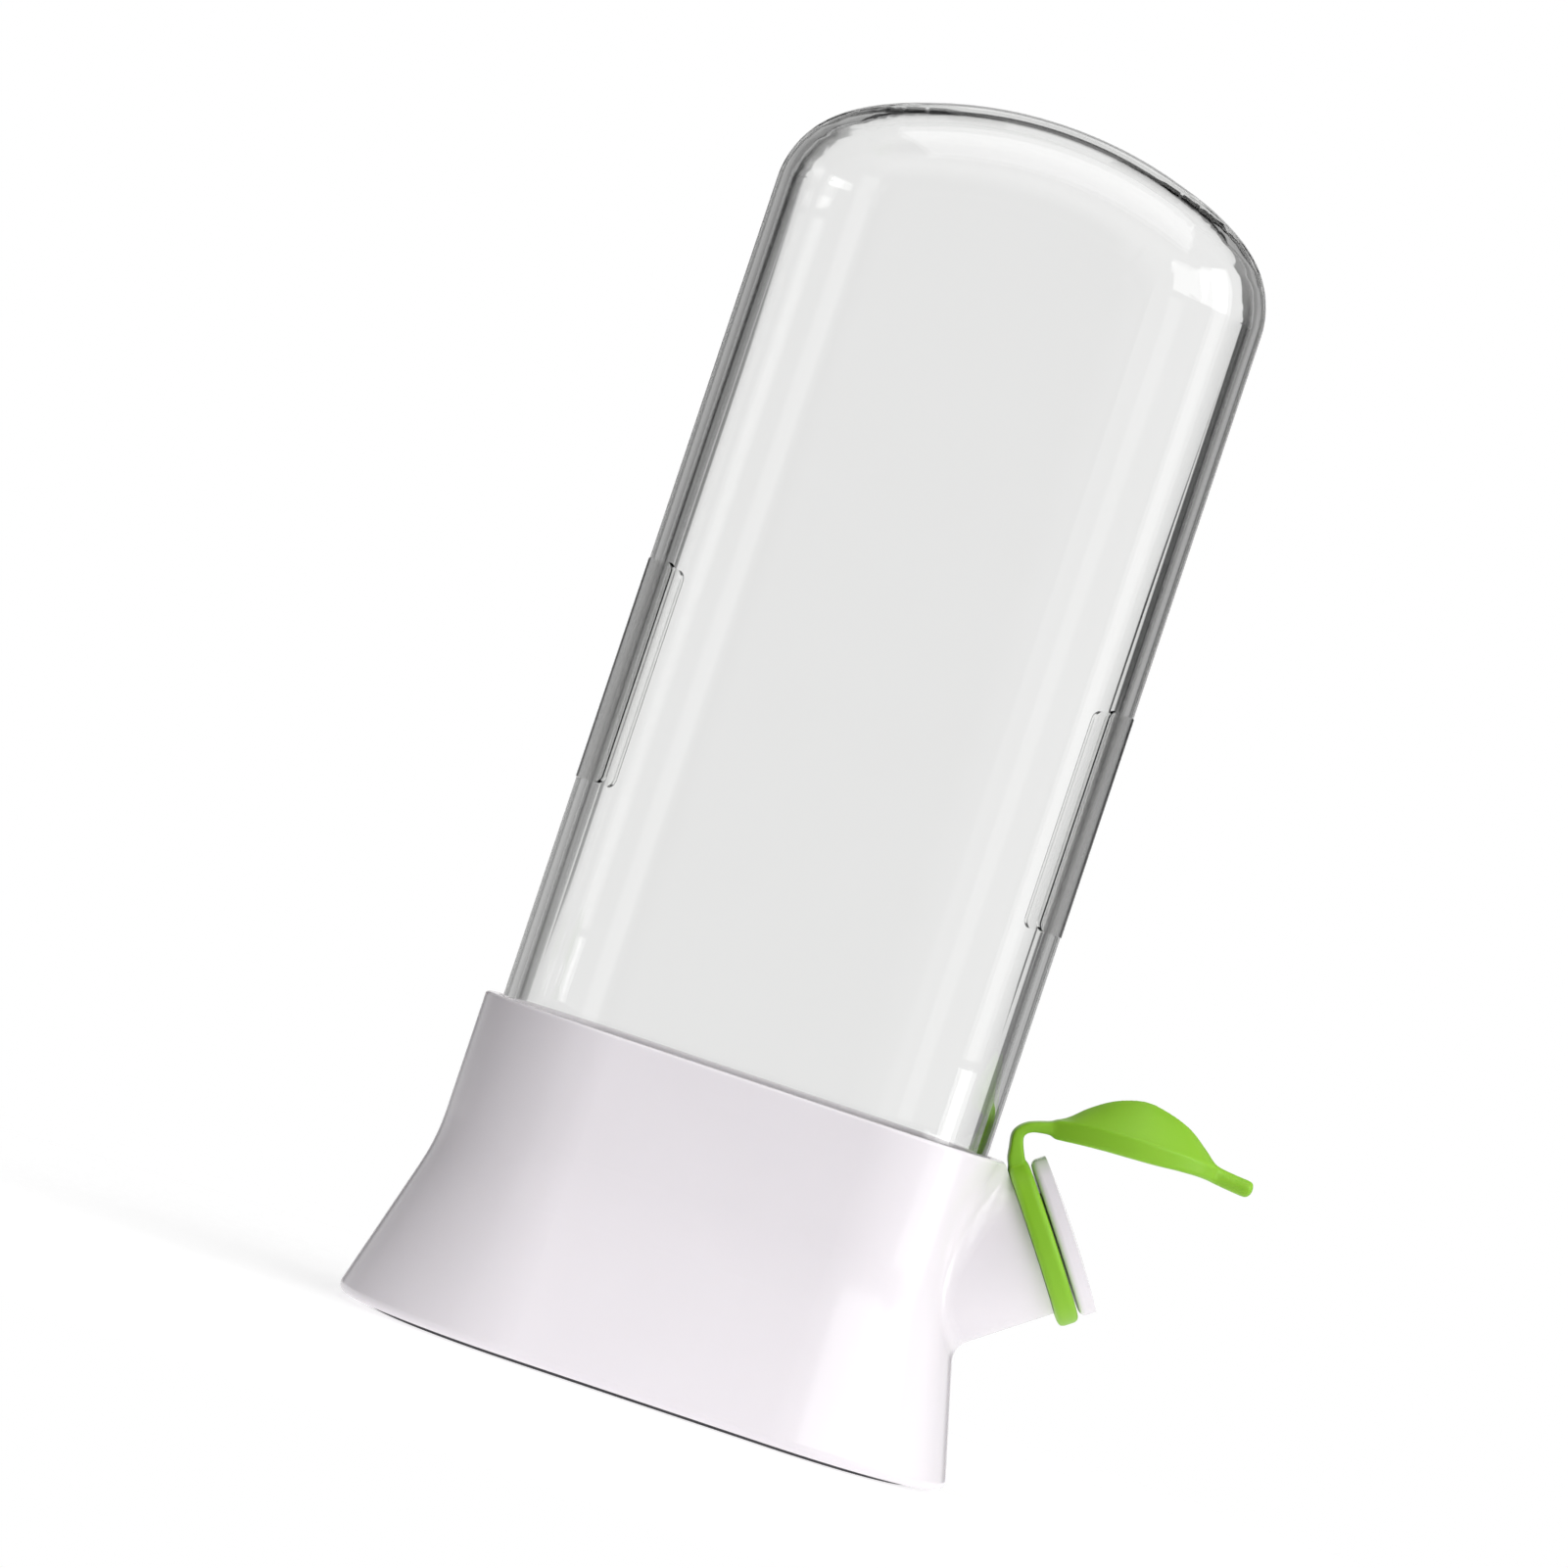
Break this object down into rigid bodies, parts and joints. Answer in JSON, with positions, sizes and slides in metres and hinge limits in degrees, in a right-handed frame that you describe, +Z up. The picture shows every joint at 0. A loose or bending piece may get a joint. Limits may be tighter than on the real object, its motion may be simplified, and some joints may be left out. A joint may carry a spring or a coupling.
{
  "type": "herb keeper pod",
  "caption": "Upright fridge pod for fresh herbs: clear domed cover on a flared white water base, with a slanted filler spout closed by a plugged cap and a leaf-shaped silicone pull tab.",
  "frame": {"origin": "middle of the foot pad's lower face, on the resting plane", "axes": "+Z up, +X towards the filler spout, -Y towards the front broad face"},
  "size_m": [0.1346, 0.0592, 0.215],
  "materials": {
    "clear_plastic": "clear gloss",
    "frosted_grip": "clear satin",
    "seal_silicone": "satin translucent silicone",
    "white_plastic": "gloss",
    "foot_rubber": "matte",
    "green_silicone": "satin silicone"
  },
  "bodies": {
    "base": {"base_shell": "white_plastic", "base_plate": "white_plastic", "foot_pad": "foot_rubber"},
    "cover": {"clear_cover": "clear_plastic", "left_grip": "frosted_grip", "right_grip": "frosted_grip", "cover_seal": "seal_silicone"},
    "stopper": {"filler_cap": "white_plastic", "seal_ring": "green_silicone"},
    "leaf": {"leaf_tab": "green_silicone"}
  },
  "joints": [
    {"name": "cover_lift", "type": "slide", "parent": "base", "child": "cover", "axis": [0, 0, 1], "range_m": [0, 0.06]},
    {"name": "stopper_pull", "type": "slide", "parent": "base", "child": "stopper", "axis": [0.8039, 0, 0.5948], "range_m": [0, 0.02]},
    {"name": "leaf_flex", "type": "hinge", "parent": "stopper", "child": "leaf", "pos_m": [0.0451, 0, 0.0599], "axis": [0, 1, 0], "range_deg": [-50, 28], "stiffness_Nm_per_rad": 0.02}
  ]
}
